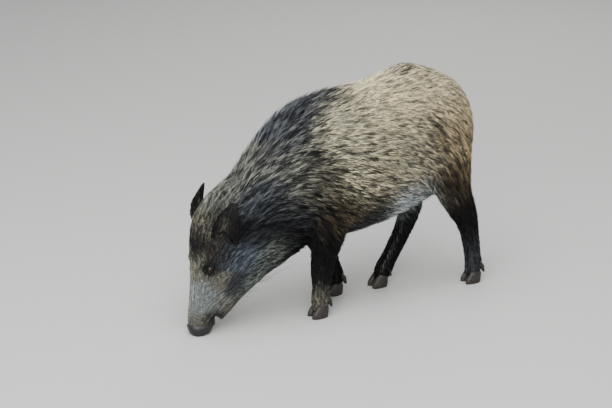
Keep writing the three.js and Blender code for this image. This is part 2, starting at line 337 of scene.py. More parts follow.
def nearMuzzle(p):
    return (headMask(p) > 0.5) & ((upTheHead(p) < 0.16) | (gapToMouth(p) < 0.016))


def nearEyes(p):
    return gapToEye(p) < 0.024


refine(skin, nearMuzzle)
refine(skin, nearEyes)
refine(skin, nearEyes)
verts = readPlaces(skin)
refined = np.maximum(nearEyes(verts), nearMuzzle(verts))
relax(skin, refined * skinWork["fine weight"], skinWork["fine rounds"])
print("skin points", len(skin.data.vertices))

# lids: the surface goes over the ball, except in the slit between them

lids = {"long": 0.0094, "wide": 0.0053, "thick": 0.0014, "reach": 0.021, "sunk": 0.0022,
        "folds": ((0.0009, 1.30, 0.22), (-0.0009, 2.0, 0.22), (0.0005, 2.6, 0.3))}  # height, place, width
eyeOut = unit(np.array([-0.42, 0.90, 0.08]))
eyeAlong = np.array([0.34, 0.0, 0.94])
eyeAlong = unit(eyeAlong - eyeOut * (eyeOut @ eyeAlong))
eyeAcross = np.cross(eyeOut, eyeAlong)


def slitGap(p):
    # 1 on the rim of the slit between the lids, less inside it
    d = mirrored(p) - eyeAt
    u, v = d @ eyeAlong, d @ eyeAcross
    wide = lids["wide"] * (1 - 0.3 * (u / lids["long"]) ** 2)
    return np.hypot(u / lids["long"], v / np.maximum(wide, 0.001))


def shapeLids(p):
    d = mirrored(p) - eyeAt
    u, v, h = d @ eyeAlong, d @ eyeAcross, d @ eyeOut
    away = np.hypot(u, v)
    slit = slitGap(p)
    ball = np.sqrt(np.maximum(eyeRadius ** 2 - away ** 2, 0.0))
    over = np.where(away < eyeRadius, np.maximum(h, ball + lids["thick"]), h)
    over += sum(height * bump(slit, place, width) for height, place, width in lids["folds"])
    goal = np.where(slit < 1, ball - lids["sunk"], over)
    goal = h + (goal - h) * (1 - smoothStep(away, eyeRadius, lids["reach"]))
    near = (away < lids["reach"]) & (h > -0.006) & (np.linalg.norm(d, axis=1) < 0.030)
    q = eyeAt + u[:, None] * eyeAlong + v[:, None] * eyeAcross + goal[:, None] * eyeOut
    q[:, 1] *= np.where(p[:, 1] < 0, -1, 1)
    return np.where(near[:, None], q, p)


writePlaces(skin, shapeLids(readPlaces(skin)))

muzzleWork = {
    "mouth": (0.0034, 0, 0.0026), "lips": (0.0014, 0.0062, 0.0028),  # depth or height, place, width
    "disc groove": (0.0016, 0.0285, 0.0026), "disc rim": (0.0010, 0.0215, 0.0035),  # the places are heights
    "wrinkle depth": 0.0006, "wrinkles": 230, "wander": 1.5, "wander rate": 160,
    "nostril": (-0.396, 0.012, 0.002), "nostril depth": 0.0045, "nostril reach": (0.003, 0.0075),
}


def carvedBy(x, key):
    depth, middle, width = muzzleWork[key]
    return depth * bump(x, middle, width)


def carveMuzzle(p):
    # how deep the mouth, the groove of the snout disc, the nose's wrinkles and the nostrils are cut
    x, y, z = p.T
    lips = gapToMouth(p)
    carve = carvedBy(lips, "mouth") - carvedBy(lips, "lips")
    front = smoothStep(-x, 0.352, 0.356)
    carve += front * (carvedBy(z, "disc groove") - carvedBy(z, "disc rim"))
    t = upTheHead(p)
    folds = smoothStep(t, 0.09, 0.12) * (1 - smoothStep(t, 0.17, 0.30)) * smoothStep(-x, 0.372, 0.400)
    wave = np.sin(t * muzzleWork["wrinkles"] + muzzleWork["wander"] * np.sin(y * muzzleWork["wander rate"]))
    carve += muzzleWork["wrinkle depth"] * wave * folds
    nostril = np.linalg.norm((mirrored(p) - muzzleWork["nostril"]) * [1, 1, 0.7], axis=1)
    inside = 1 - smoothStep(nostril, *muzzleWork["nostril reach"])
    carve += muzzleWork["nostril depth"] * inside * (z < 0.02)
    return carve * (headMask(p) * (1 - earMask(p)))


verts = readPlaces(skin)
verts -= readNormals(skin) * carveMuzzle(verts)[:, None]
verts[:, 2] = np.maximum(verts[:, 2], 0)
writePlaces(skin, verts)
smoothShading(skin)
skinVerts, skinTris, skinNormals = readPlaces(skin), readTriangles(skin), readNormals(skin)
skinTree = surfaceTree(skinVerts, skinTris)

# markings, shared by skin and coat: soft patches, the same on both sides

# frost, steel and iron are the coat's own greys with a blue cast that is painted cool skylight
palette = {
    "straw": "e6dab8", "sand": "c6b595", "ash": "c8c2aa", "skylit frost": "cdd6da", "silver": "747b79",
    "grey": "6c6d69", "stone": "605e55", "skylit steel": "4f5761", "umber": "7c6e56", "skylit iron": "4c4f56",
    "slate": "40444c", "earth": "3c342a", "charcoal": "34353a", "soot": "181819", "black": "080808",
    "peat": "2b2824", "horny": "2c2a2a",
}
patches = {  # middle (x, y, z), reach, tint, contrast between dark and pale bristles
    "croup": ((0.250, 0.04, 0.590), 0.085, "straw", 0.38),
    "back": ((0.080, 0.06, 0.560), 0.085, "straw", 0.45),
    "rump": ((0.300, 0.10, 0.480), 0.070, "sand", 0.50),
    "buttock": ((0.345, 0.06, 0.390), 0.060, "umber", 0.50),
    "hip": ((0.235, 0.11, 0.440), 0.050, "umber", 0.55),
    # loins to mane: iron's blue cast is painted cool skylight
    "loins": ((0.170, 0.00, 0.614), 0.046, "skylit iron", 0.90),
    "withers": ((-0.065, 0.01, 0.572), 0.044, "skylit iron", 0.85),
    "crest": ((-0.140, 0.02, 0.535), 0.046, "skylit iron", 0.90),
    "mane": ((-0.205, 0.02, 0.480), 0.048, "skylit iron", 0.90),
    "nape": ((-0.285, 0.02, 0.410), 0.044, "grey", 0.80),
    "neck": ((-0.190, 0.09, 0.405), 0.055, "grey", 0.80),
    "neck front": ((-0.255, 0.07, 0.340), 0.045, "slate", 0.85),
    "shoulder": ((-0.115, 0.10, 0.390), 0.055, "stone", 0.75),
    "shoulder point": ((-0.180, 0.09, 0.270), 0.050, "charcoal", 0.80),
    "elbow": ((-0.070, 0.10, 0.290), 0.040, "earth", 0.80),
    "elbow streak": ((-0.028, 0.11, 0.275), 0.028, "umber", 0.80),
    "ribs upper": ((-0.020, 0.09, 0.495), 0.065, "ash", 0.60),
    "ribs": ((0.010, 0.12, 0.400), 0.065, "ash", 0.75),
    "ribs low": ((0.010, 0.11, 0.300), 0.045, "stone", 0.75),
    "flank": ((0.145, 0.11, 0.410), 0.075, "ash", 0.62),
    # flank fold: pale hair whose blue cast is painted cool skylight
    "flank fold": ((0.165, 0.07, 0.265), 0.056, "skylit frost", 0.60),
    "thigh": ((0.268, 0.10, 0.320), 0.058, "earth", 0.60),
    "belly": ((0.030, 0.03, 0.210), 0.075, "charcoal", 0.55),
    "breast": ((-0.140, 0.03, 0.190), 0.070, "soot", 0.50),
    "fore leg": ((-0.095, 0.08, 0.165), 0.070, "black", 0.50),
    "pastern": ((-0.095, 0.07, 0.058), 0.028, "stone", 0.40),
    "far fore leg": ((0.020, 0.06, 0.110), 0.070, "black", 0.45),
    "hock": ((0.330, 0.07, 0.175), 0.070, "soot", 0.50),
    "cannon": ((0.375, 0.07, 0.070), 0.055, "charcoal", 0.45),
    "far hock": ((0.185, 0.04, 0.110), 0.070, "black", 0.45),
    "throat": ((-0.245, 0.08, 0.260), 0.044, "soot", 0.80),
    "ruff": ((-0.235, 0.06, 0.195), 0.034, "silver", 0.85),
    # cheek: blue-grey, partly the coat's own grey and partly painted cool skylight
    "cheek": ((-0.300, 0.07, 0.205), 0.034, "skylit steel", 0.50),
    # a charcoal stripe of painted shade along the cheek's muscle, up from the mouth's corner
    "painted cheek shade": ((-0.322, 0.06, 0.135), 0.024, "charcoal", 0.45),
    "jaw": ((-0.275, 0.045, 0.112), 0.028, "silver", 0.85),
    "under eye": ((-0.365, 0.058, 0.150), 0.020, "stone", 0.40),
    "behind eye": ((-0.355, 0.070, 0.215), 0.023, "charcoal", 0.70),
    "above eye": ((-0.398, 0.032, 0.212), 0.014, "stone", 0.50),
    "eye rims": ((-0.386, 0.050, 0.184), 0.0155, "black", 0.30),
    "brow": ((-0.404, 0.010, 0.242), 0.030, "soot", 0.75),
    "brow side": ((-0.386, 0.052, 0.240), 0.024, "peat", 0.75),
    "bridge": ((-0.407, 0.010, 0.165), 0.022, "stone", 0.45),
    "snout": ((-0.405, 0.030, 0.100), 0.036, "silver", 0.35),
    "snout end": ((-0.408, 0.020, 0.034), 0.024, "stone", 0.30),
    "lip": ((-0.358, 0.036, 0.085), 0.018, "grey", 0.55),
    # mouth: its black is painted shade in the notch between the snout and the lower jaw
    "mouth": ((-0.374, 0.032, 0.047), 0.019, "black", 0.40),
    "chin": ((-0.305, 0.024, 0.060), 0.024, "stone", 0.45),
    "forehead": ((-0.394, 0.02, 0.290), 0.032, "stone", 0.75),
    "poll": ((-0.352, 0.02, 0.345), 0.034, "grey", 0.80),
    "ear front": ((-0.368, 0.044, 0.318), 0.022, "soot", 0.60),
    "ear root": ((-0.315, 0.080, 0.270), 0.028, "soot", 0.60),
}
tintOf = {name: linearTint(code) for name, code in palette.items()}
middles, reaches, tintNames, contrasts = zip(*patches.values())
patchMiddle, patchReach, patchContrast = np.array(middles), np.array(reaches), np.array(contrasts)
patchTint = np.array([tintOf[name] for name in tintNames])
earMarks = {"contrast": 0.7, "inside": 0.45, "rear rim": 0.35}  # the last two are shares of pale hair
tailFade = 0.45  # how much less dark the tail is at its root


def markings(p):
    # the tint and the contrast at each place; far from every patch, the second term of weight decides
    x, z = p[:, 0], p[:, 2]
    gap = np.linalg.norm(mirrored(p)[:, None, :] - patchMiddle, axis=2) / patchReach
    weight = np.exp(-1.1 * gap ** 2) + 1e-6 / (1 + gap ** 4)
    weight /= weight.sum(axis=1, keepdims=True)
    tint, contrast = weight @ patchTint, weight @ patchContrast

    pale = earMarks["inside"] * bump(x, -0.356, 0.009) * bump(z, 0.290, 0.026)
    pale += earMarks["rear rim"] * smoothStep(x, -0.325, -0.319)
    onEar = earMask(p)
    contrast = contrast + (earMarks["contrast"] - contrast) * onEar
    onTail = tailMask(p) * (1 - tailFade * smoothStep(z, 0.400, 0.470))
    rims = 1 - smoothStep(gapToEye(p), 0.015, 0.022)
    disc = headMask(p) * (1 - smoothStep(z, 0.026, 0.032))
    tint = toward(tint, toward(tintOf["black"], tintOf["stone"], pale), onEar)
    for name, share in (("earth", onTail), ("black", rims), ("horny", disc)):
        tint = toward(tint, tintOf[name], share)
    return tint, contrast


# the lie of the coat, as seen from the side: place (x, z) and direction (x, z)

lieOfParts = np.array([
    [-0.420, 0.020, 0.10, 1.00], [-0.410, 0.120, 0.12, 1.00], [-0.400, 0.230, 0.10, 1.00],
    [-0.385, 0.310, 0.30, 0.95], [-0.360, 0.070, 0.75, 0.70], [-0.350, 0.130, 0.60, 0.80],
    [-0.340, 0.200, 0.60, 0.80], [-0.300, 0.070, 0.90, 0.40], [-0.270, 0.130, 0.85, 0.55],
    [-0.260, 0.220, 0.90, 0.45], [-0.350, 0.350, 0.55, 0.80], [-0.300, 0.400, 0.70, 0.72],
    [-0.240, 0.470, 0.72, 0.70], [-0.280, 0.320, 0.80, 0.55], [-0.200, 0.400, 0.92, 0.35],
    [-0.200, 0.300, 0.97, 0.05], [-0.180, 0.200, 0.95, -0.15], [-0.170, 0.530, 0.85, 0.48],
    [-0.100, 0.570, 0.98, 0.15], [-0.120, 0.450, 0.97, 0.00], [-0.110, 0.350, 0.88, -0.40],
    [-0.090, 0.260, 0.50, -0.86], [-0.100, 0.150, 0.05, -1.00], [-0.090, 0.050, 0.10, -1.00],
    [-0.150, 0.170, 0.85, -0.30], [-0.020, 0.170, 0.98, 0.05], [0.020, 0.100, 0.10, -1.00],
    [-0.020, 0.300, 0.92, -0.38], [0.000, 0.450, 0.97, -0.20], [0.020, 0.570, 1.00, 0.03],
    [0.060, 0.200, 1.00, -0.02], [0.100, 0.320, 0.96, -0.25], [0.120, 0.480, 0.96, -0.25],
    [0.160, 0.600, 1.00, 0.05], [0.190, 0.250, 0.97, 0.10], [0.200, 0.380, 0.88, -0.45],
    [0.240, 0.580, 0.96, -0.15], [0.250, 0.470, 0.72, -0.68], [0.250, 0.330, 0.50, -0.85],
    [0.180, 0.130, 0.10, -1.00], [0.140, 0.050, 0.05, -1.00], [0.310, 0.560, 0.75, -0.65],
    [0.330, 0.450, 0.45, -0.88], [0.300, 0.330, 0.40, -0.90], [0.310, 0.230, 0.40, -0.90],
    [0.370, 0.130, 0.20, -1.00], [0.380, 0.050, 0.00, -1.00], [0.365, 0.400, 0.10, -1.00],
])


lieBlend = 0.02  # nearer than this, one row hardly outdoes the next


def lieOfCoat(p, normal):
    gap = np.linalg.norm(p[:, None, [0, 2]] - lieOfParts[:, :2], axis=2)
    weight = 1 / (gap ** 2 + lieBlend ** 2) ** 1.5
    flat = unit((weight[:, :, None] * lieOfParts[:, 2:]).sum(axis=1))
    lie = np.stack([flat[:, 0], np.zeros(len(p)), flat[:, 1]], axis=1)
    earLie = np.tile(unit(earLine[-1] - earLine[0]), (len(p), 1))
    earLie[:, 1] *= np.where(p[:, 1] < 0, -1, 1)
    lie += (earLie - lie) * earMask(p)[:, None]
    return unit(lie - normal * (lie * normal).sum(axis=1, keepdims=True))


# unwrap of the skin, and its tints, which are darker than the coat's

# the skin under the coat is darker than the coat; the lid slit and the mouth's crease are darker still, as
# painted shade
skinShade = {"under the coat": 0.5, "painted shade of lids and mouth": 0.2}
unwrapWork = {"angle": math.radians(60), "margin": 0.002}


def unwrap(obj):
    # lays the map out and gives its places at the corners of each triangle
    layer = obj.data.uv_layers.new(name="OFBake").name
    bpy.context.view_layer.objects.active = obj
    obj.select_set(True)
    bpy.ops.object.mode_set(mode="EDIT")
    bpy.ops.mesh.select_all(action="SELECT")
    bpy.ops.uv.smart_project(angle_limit=unwrapWork["angle"], island_margin=unwrapWork["margin"])
    bpy.ops.object.mode_set(mode="OBJECT")
    loopUv = readRows(obj.data.uv_layers[layer].data, "uv", 2)
    return loopUv[readTriangles(obj, "loops")]


skinUv = unwrap(skin)
skinTint, _ = markings(skinVerts)
inMouth = (gapToMouth(skinVerts) < 0.002) & (headMask(skinVerts) > 0.5)
onLids = nearEyes(skinVerts) & (slitGap(skinVerts) < 1.5)
# painted shade in the mouth's crease and around the lid slit
shade = np.where(inMouth | onLids, skinShade["painted shade of lids and mouth"], skinShade["under the coat"])
paint(skin, skinTint * shade[:, None])
print("skin unwrapped")

# coat: crowd is tufts per square metre, clump is tufts in a clump and how long it is for its width

usualWork = {"loose": 0.03, "fray": 0.010, "longer": 1, "higher": 1}  # where a piece says nothing else
coatPieces = {
    "mane": {"crowd": 165000, "wide": 0.0014, "clump": (11, 6.0), "stray": 0.13, "loose": 0.12},
    "neck_left": {"crowd": 165000, "wide": 0.0013, "clump": (10, 6.0), "stray": 0.12},
    "neck_right": {"crowd": 130000, "wide": 0.0014, "clump": (10, 6.0), "stray": 0.12},
    "ribs_left": {"crowd": 165000, "wide": 0.0013, "clump": (10, 6.0), "stray": 0.10},
    "ribs_right": {"crowd": 130000, "wide": 0.0014, "clump": (10, 6.0), "stray": 0.10},
    "back": {"crowd": 135000, "wide": 0.0014, "clump": (10, 6.0), "stray": 0.10},
    "rump_left": {"crowd": 165000, "wide": 0.0013, "clump": (9, 6.0), "stray": 0.10},
    "rump_right": {"crowd": 130000, "wide": 0.0014, "clump": (9, 6.0), "stray": 0.10},
    "belly": {"crowd": 115000, "wide": 0.0015, "clump": (10, 5.0), "stray": 0.16, "loose": 0.12},
    "fore_legs": {"crowd": 150000, "wide": 0.0013, "clump": (8, 3.0), "stray": 0.12},
    "hind_legs": {"crowd": 150000, "wide": 0.0013, "clump": (8, 3.0), "stray": 0.12},
    "face_left": {"crowd": 270000, "wide": 0.0009, "clump": (8, 4.5), "stray": 0.13, "fray": 0.005},
    "face_right": {"crowd": 210000, "wide": 0.0010, "clump": (8, 4.5), "stray": 0.13, "fray": 0.005},
    "ears": {"crowd": 230000, "wide": 0.0009, "clump": (8, 4.0), "stray": 0.15, "fray": 0.003},
    "tail": {"crowd": 200000, "wide": 0.0013, "clump": (8, 5.0), "stray": 0.10},
}
whiskerWork = {"crowd": 7000, "wide": 0.0005, "clump": (4, 1.5), "stray": 0.35,
               "longer": 5.0, "higher": 7.0}
lashWork = {"crowd": 900000, "wide": 0.00045, "clump": (4, 1.5), "stray": 0.25,
            "longer": 0.9, "higher": 2.2}


def pieceOf(p):
    # the number of the piece that each place belongs to: a later rule wins over an earlier one
    x, y, z = p.T
    left = y < 0
    front = x < -0.085 - 0.10 * (z - 0.3)
    rear = x > 0.185
    onTop = (np.abs(y) < 0.062) & (z > 0.47) & (x > -0.05)
    crest = (np.abs(y) < 0.045) & (x < -0.05) & (z > 0.33 - 0.6 * (x + 0.30))
    under = (z < 0.262 - 0.08 * np.abs(x)) & (x > -0.16) & (x < 0.26)
    onLeg = (z < 0.195) & (x > -0.14)
    onHead = headMask(p) > 0.5
    rules = [
        ("ribs_left", left), ("ribs_right", ~left),
        ("rump_left", rear & left), ("rump_right", rear & ~left), ("back", onTop),
        ("neck_left", front & left), ("neck_right", front & ~left), ("mane", crest),
        ("belly", under), ("fore_legs", onLeg & (x < 0.10)), ("hind_legs", onLeg & (x >= 0.10)),
        ("face_left", onHead & left), ("face_right", onHead & ~left),
        ("tail", tailMask(p) > 0.5), ("ears", earMask(p) > 0.5),
    ]
    names = list(coatPieces)
    where = np.zeros(len(p), dtype=int)
    for name, mask in rules:
        where[mask] = names.index(name)
    return where


corners = skinVerts[skinTris]
triMiddle = corners.mean(axis=1)
triArea = np.linalg.norm(np.cross(corners[:, 1] - corners[:, 0], corners[:, 2] - corners[:, 0]), axis=1) / 2
triPiece = pieceOf(triMiddle)
triOnHead = headMask(triMiddle) > 0.5
bareWork = {"lids": 1.55, "snout": 0.030, "mouth": 0.0030, "hooves": 0.016}  # no hair within or below
bare = nearEyes(triMiddle) & (slitGap(triMiddle) < bareWork["lids"])
bare |= triOnHead & (triMiddle[:, 2] < bareWork["snout"])
bare |= triOnHead & (gapToMouth(triMiddle) < bareWork["mouth"])
bare |= triMiddle[:, 2] < bareWork["hooves"]


def sampleRoots(chosen, crowd):
    # evenly spread by area, then a random place inside each triangle
    total = np.cumsum(np.where(chosen, triArea, 0) * crowd)
    marks = np.arange(int(total[-1])) + rng.uniform(0.0, 1.0, int(total[-1]))
    pick = np.clip(np.searchsorted(total, marks), 0, len(total) - 1)
    a, b = rng.random(len(pick)), rng.random(len(pick))
    flip = a + b > 1
    a, b = np.where(flip, 1 - a, a), np.where(flip, 1 - b, b)
    return pick, np.stack([1 - a - b, a, b], axis=1)


def atRoots(values, pick, weights):
    return (values[skinTris[pick]] * weights[:, :, None]).sum(axis=1)


def hug(places, height):
    # bring each place to its height over the skin
    out = np.empty_like(places)
    for i, place in enumerate(places):
        spot, normal, _, _ = skinTree.find_nearest(Vector(place))
        out[i] = spot + normal * height[i]
    return out


def gather(root, lie, each, stretch):
    # long narrow clumps along the lie: the clump of each tuft, and the clumps' middles
    count = max(int(len(root) / each), 2)
    middles = rng.choice(len(root), count, replace=False)
    tree = placeTree(root[middles])
    mine = np.empty(len(root), dtype=int)
    for i, place in enumerate(root):
        best = np.inf
        for spot, index, _ in tree.find_n(Vector(place), 6):
            off = place - np.array(spot)
            along = off @ lie[i]
            gap = off @ off - along * along * (1 - 1 / stretch ** 2)
            if gap < best:
                best, mine[i] = gap, index
    return mine, middles


# the lower ends is, the more hairs are quite dark or quite pale; root, middle and tip are along a tuft,
# where the darker root is partly the bristles' own dark bases and partly painted shade between the tufts
shadeWork = {"ends": 0.6, "around": 0.8, "lift": 0.4, "clump": 0.58, "hair": 0.42, "swing": 8.0,
             "even out": 1.7, "brightest": 2.0, "limit": 0.80, "warm": (0.02, 0.0, -0.07),
             "root": 0.5, "middle": 0.95, "tip": 1.1}


def uneven(places):
    # light and dark by turns: random, less most of the mean of the places around
    tree = placeTree(places)
    values = rng.beta(shadeWork["ends"], shadeWork["ends"], len(places))
    around = [values[[index for _, index, _ in tree.find_n(Vector(place), 7)]].mean() for place in places]
    return values - shadeWork["around"] * np.array(around) + shadeWork["lift"]


def tuftTints(root, mine, middles, work):
    # shades of the clump and of the hair itself; the tint is read a little way off, so borders fray
    fray = rng.normal(0, 1, (len(middles), 3))[mine] * work["fray"]
    tint, contrast = markings(root + fray)
    shade = shadeWork["clump"] * uneven(root[middles])[mine]
    shade = shade + shadeWork["hair"] * rng.beta(shadeWork["ends"], shadeWork["ends"], len(root))
    swing = shadeWork["swing"] * contrast * (shade - 0.5)
    level = np.exp(swing - (shadeWork["even out"] * contrast) ** 2 / 2)
    level = np.minimum(level, shadeWork["brightest"])[:, None]
    hair = tint * level * (1 + np.clip(swing, -1.5, 1.5)[:, None] * shadeWork["warm"])
    hair *= np.minimum(1, shadeWork["limit"] / hair.max(axis=1, keepdims=True))
    # darker at the root, as dark bases and as painted shade among the tufts; paler at the tip for the
    # bristles' pale ends
    rings = [hair * shadeWork["root"]] * 3 + [hair * shadeWork["middle"]] * 3
    return np.stack(rings + [hair * shadeWork["tip"]], axis=1).reshape(-1, 3)


# a tuft is two rings of three points and a tip: three sides between the rings, and its closed ends
tuftSides = np.array([[0, 1, 4, 3], [1, 2, 5, 4], [2, 0, 3, 5]])
tuftEnds = np.array([[0, 2, 1], [3, 4, 6], [4, 5, 6], [5, 3, 6]])
tuftPoints = 7
tuftTriangles = len(tuftSides) * 2 + len(tuftEnds)
# pairs are the least and the most share of the usual; sunk is in metres, clump stray in radians
tuftWork = {"long": (0.75, 1.2), "wide": (0.7, 1.3), "draw": (0.1, 0.7), "rise": (0.55, 1.0),
            "clump rise": (0.85, 1.1), "clump stray": 0.08, "loose rise": 1.3, "middle rise": 0.62,
            "middle draw": 0.2, "sunk": 0.001, "root wide": 0.85, "middle wide": 0.9, "thick": 1.1}
bakePatch = 0.0015  # half of the width of a tuft's patch on the map


def tuftShape(root, middle, tip, normal, wide):
    along = unit(tip - root)
    sideways = unit(np.cross(along, normal))
    upward = np.cross(sideways, along)
    verts = []
    for ring, share in ((root, tuftWork["root wide"]), (middle, tuftWork["middle wide"])):
        half = (wide * share / 2)[:, None]
        verts += [ring - sideways * half, ring + sideways * half, ring + upward * half * tuftWork["thick"]]
    return np.stack(verts + [tip], axis=1).reshape(-1, 3)


def growPiece(name, work, chosen):
    work = {**usualWork, **work}
    pick, weights = sampleRoots(chosen, work["crowd"])
    count = len(pick)
    root = atRoots(skinVerts, pick, weights)
    normal = unit(atRoots(skinNormals, pick, weights))
    lie = lieOfCoat(root, normal)
    mine, middles = gather(root, lie, *work["clump"])
    turn = rng.normal(0, work["stray"], count) + rng.normal(0, tuftWork["clump stray"], len(middles))[mine]
    turn = turn[:, None]
    lie = unit(lie * np.cos(turn) + np.cross(normal, lie) * np.sin(turn))
    long = coatLength(root) * rng.uniform(*tuftWork["long"], count) * work["longer"]
    wide = work["wide"] * rng.uniform(*tuftWork["wide"], count)
    depth = coatDepth(root) * work["higher"]

    # tips draw towards their clump's own line
    off = root[middles][mine] - root
    off -= lie * (off * lie).sum(axis=1, keepdims=True)
    draw = rng.uniform(*tuftWork["draw"], count)[:, None]
    tip = root + lie * long[:, None] + off * draw
    rise = depth * rng.uniform(*tuftWork["rise"], count)
    rise = rise * rng.uniform(*tuftWork["clump rise"], len(middles))[mine]
    rise = np.where(rng.random(count) < work["loose"], depth * tuftWork["loose rise"], rise)
    middle = hug((root + tip) / 2 + off * draw * tuftWork["middle draw"], rise * tuftWork["middle rise"])
    tip = hug(tip, rise)
    root = root - normal * tuftWork["sunk"]
    verts = tuftShape(root, middle, tip, normal, wide)
    tints = tuftTints(root, mine, middles, work)
    rootUv = (skinUv[pick] * weights[:, :, None]).sum(axis=1)
    return tuftMesh(name, verts, tints, rootUv)


def tuftMesh(name, verts, tints, rootUv):
    starts = (np.arange(len(rootUv)) * tuftPoints)[:, None, None]
    sides, ends = tuftSides + starts, tuftEnds + starts
    loops = np.concatenate([sides.ravel(), ends.ravel()]).astype(np.int32)
    sizes = np.repeat([4, 3], [sides.size // 4, ends.size // 3]).astype(np.int32)
    mesh = bpy.data.meshes.new(name)
    mesh.vertices.add(len(verts))
    mesh.loops.add(len(loops))
    mesh.polygons.add(len(sizes))
    mesh.vertices.foreach_set("co", verts.astype(np.float32).ravel())
    mesh.loops.foreach_set("vertex_index", loops)
    mesh.polygons.foreach_set("loop_start", (np.cumsum(sizes) - sizes).astype(np.int32))
    mesh.polygons.foreach_set("use_smooth", np.ones(len(sizes), dtype=bool))
    mesh.update(calc_edges=True)
    angle = (loops % tuftPoints) * (2 * math.pi / tuftPoints)
    patch = np.stack([np.cos(angle), np.sin(angle)], axis=1) * bakePatch
    bake = mesh.uv_layers.new(name="OFBake")
    bake.data.foreach_set("uv", (rootUv[loops // tuftPoints] + patch).astype(np.float32).ravel())
    obj = addObject(name, mesh)
    paint(obj, tints)
    return obj


# materials

def newMaterial(name, roughness, specular):
    material = bpy.data.materials.new(name)
    material.use_nodes = True
    bsdf = material.node_tree.nodes["Principled BSDF"]
    bsdf.inputs["Roughness"].default_value = roughness
    bsdf.inputs["Specular IOR Level"].default_value = specular
    return material, material.node_tree, bsdf


def tintFrom(tree, bsdf):
    tint = tree.nodes.new("ShaderNodeVertexColor")
    tint.layer_name = "tint"
    tree.links.new(tint.outputs["Color"], bsdf.inputs["Base Color"])
    return tint.outputs["Color"]


hideWork = {"noise": 120, "detail": 4, "from": (0.3, 0.7), "to": (0.7, 1.25), "deep": 0.0006}


def makeHide():
    # pebbled hide: small cells broken up by noise
    group = bpy.data.node_groups.new("hide", "ShaderNodeTree")
    for name, way, kind in (("Place", "INPUT", "Vector"), ("Scale", "INPUT", "Float"),
                            ("Height", "OUTPUT", "Float"), ("Shade", "OUTPUT", "Float")):
        group.interface.new_socket(name=name, in_out=way, socket_type="NodeSocket" + kind)
    put, out = group.nodes.new("NodeGroupInput"), group.nodes.new("NodeGroupOutput")
    cells = group.nodes.new("ShaderNodeTexVoronoi")
    cells.feature = "SMOOTH_F1"
    noise = group.nodes.new("ShaderNodeTexNoise")
    noise.inputs["Scale"].default_value = hideWork["noise"]
    noise.inputs["Detail"].default_value = hideWork["detail"]
    both = group.nodes.new("ShaderNodeMath")
    both.operation = "ADD"
    shade = group.nodes.new("ShaderNodeMapRange")
    for way, span in (("From", hideWork["from"]), ("To", hideWork["to"])):
        shade.inputs[way + " Min"].default_value, shade.inputs[way + " Max"].default_value = span
    for start, end in (
            (put.outputs["Place"], cells.inputs["Vector"]), (put.outputs["Scale"], cells.inputs["Scale"]),
            (put.outputs["Place"], noise.inputs["Vector"]), (cells.outputs["Distance"], both.inputs[0]),
            (noise.outputs["Fac"], both.inputs[1]), (both.outputs[0], out.inputs["Height"]),
            (noise.outputs["Fac"], shade.inputs["Value"]), (shade.outputs[0], out.inputs["Shade"])):
        group.links.new(start, end)
    return group


hideGroup = makeHide()


def addHide(tree, bsdf, scale, strength, tint):
    # the hide's relief and its mottled shade on a material
    place = tree.nodes.new("ShaderNodeTexCoord")
    hide = tree.nodes.new("ShaderNodeGroup")
    hide.node_tree = hideGroup
    hide.inputs["Scale"].default_value = scale
    relief = tree.nodes.new("ShaderNodeBump")
    relief.inputs["Strength"].default_value = strength
    relief.inputs["Distance"].default_value = hideWork["deep"]
    mix = tree.nodes.new("ShaderNodeMix")
    mix.data_type = "RGBA"
    mix.blend_type = "MULTIPLY"
    mix.inputs[0].default_value = 1.0
    grey = tree.nodes.new("ShaderNodeCombineColor")
    tree.links.new(place.outputs["Object"], hide.inputs["Place"])
    tree.links.new(hide.outputs["Height"], relief.inputs["Height"])
    tree.links.new(relief.outputs["Normal"], bsdf.inputs["Normal"])
    for channel in range(3):
        tree.links.new(hide.outputs["Shade"], grey.inputs[channel])
    tree.links.new(tint, mix.inputs[6])
    tree.links.new(grey.outputs[0], mix.inputs[7])
    tree.links.new(mix.outputs[2], bsdf.inputs["Base Color"])


# the skin and the coat get their materials, body and slots

skinLook = {"roughness": 0.45, "specular": 0.30, "cells": 520, "relief": 0.55}
coatLook = {"roughness": 0.62, "specular": 0.12}
skinMaterial, tree, bsdf = newMaterial("skin", skinLook["roughness"], skinLook["specular"])
addHide(tree, bsdf, skinLook["cells"], skinLook["relief"], tintFrom(tree, bsdf))
skin.data.materials.clear()
skin.data.materials.append(skinMaterial)
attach(skin, "root")
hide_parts(*fleshNodes)

coatMaterial, tree, bsdf = newMaterial("coat", coatLook["roughness"], coatLook["specular"])
tintFrom(tree, bsdf)


def finishHair(name, piece):
    piece.data.materials.append(coatMaterial)
    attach(piece, "root")
    triangles = len(piece.data.vertices) // tuftPoints * tuftTriangles
    print(name, triangles)
    return triangles


total = 0
for number, (name, work) in enumerate(coatPieces.items()):
    total += finishHair(name, growPiece("coat_" + name, work, (triPiece == number) & ~bare))
print("coat triangles", total)

onMuzzle = triOnHead & (upTheHead(triMiddle) < 0.42) & ~bare
finishHair("whiskers", growPiece("whiskers", whiskerWork, onMuzzle))
aboveEye = (mirrored(triMiddle) - eyeAt) @ eyeAcross < -0.001
upperLid = nearEyes(triMiddle) & (np.abs(slitGap(triMiddle) - 1.25) < 0.15) & aboveEye
finishHair("lashes", growPiece("lashes", lashWork, upperLid))

# eyes: pupil and iris say how far from the axis each one's edge starts and ends

eyeWork = {"rings": 32, "segments": 48, "cornea": 0.0009, "cornea reach": 0.0065,
           "pupil": (0.0026, 0.0032), "iris": (0.0052, 0.0062),
           "pupil tint": "040303", "iris tint": "1c100a", "ball tint": "120d0b",
           "roughness": 0.4, "specular": 0.1, "wet": 0.3, "wet roughness": 0.04}
eyeMaterial, tree, bsdf = newMaterial("eye", eyeWork["roughness"], eyeWork["specular"])
bsdf.inputs["Coat Weight"].default_value = eyeWork["wet"]
bsdf.inputs["Coat Roughness"].default_value = eyeWork["wet roughness"]
tintFrom(tree, bsdf)


